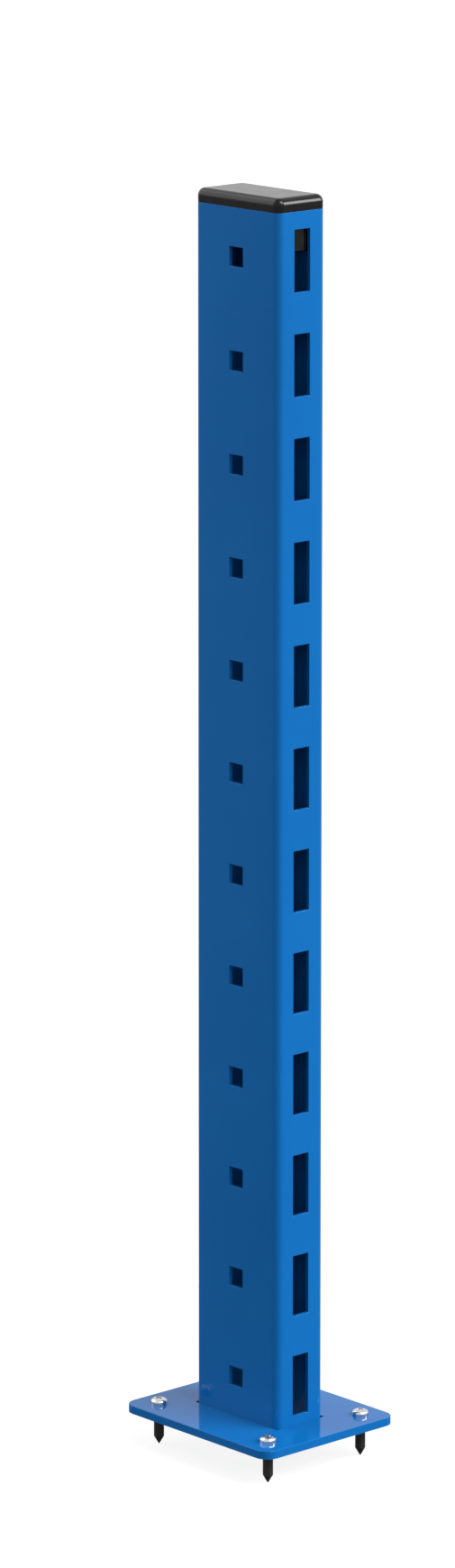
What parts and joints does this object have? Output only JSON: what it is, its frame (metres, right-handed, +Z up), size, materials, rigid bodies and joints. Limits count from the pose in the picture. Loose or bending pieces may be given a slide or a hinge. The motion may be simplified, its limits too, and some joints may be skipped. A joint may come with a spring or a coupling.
{
  "type": "sign post",
  "caption": "Slotted rectangular steel post with a screwed-down base plate and a plastic end cap, for hooking or bolting signs and brackets to.",
  "frame": {"origin": "centre of the base plate's underside, where it meets the floor", "axes": "+Z up along the post, +X out of the narrow slotted side, -Y out of the broad side that shows with it"},
  "size_m": [0.104, 0.086, 0.6202],
  "materials": {
    "powder_coat": "gloss powder coat, blue",
    "coated_weld": "powder coat over a weld bead, blue",
    "cap_plastic": "satin black moulded plastic",
    "zinc": "bright zinc plate",
    "plug_nylon": "black moulded nylon"
  },
  "bodies": {
    "post": {"post_tube": "powder_coat", "base_plate": "powder_coat", "foot_weld": "coated_weld", "screw_front_left": "zinc", "plug_front_left": "plug_nylon", "screw_front_right": "zinc", "plug_front_right": "plug_nylon", "screw_rear_left": "zinc", "plug_rear_left": "plug_nylon", "screw_rear_right": "zinc", "plug_rear_right": "plug_nylon"},
    "cap": {"end_cap": "cap_plastic"}
  },
  "joints": [
    {"name": "cap_pull", "type": "slide", "parent": "post", "child": "cap", "axis": [0, 0, 1], "range_m": [0, 0.024]}
  ]
}
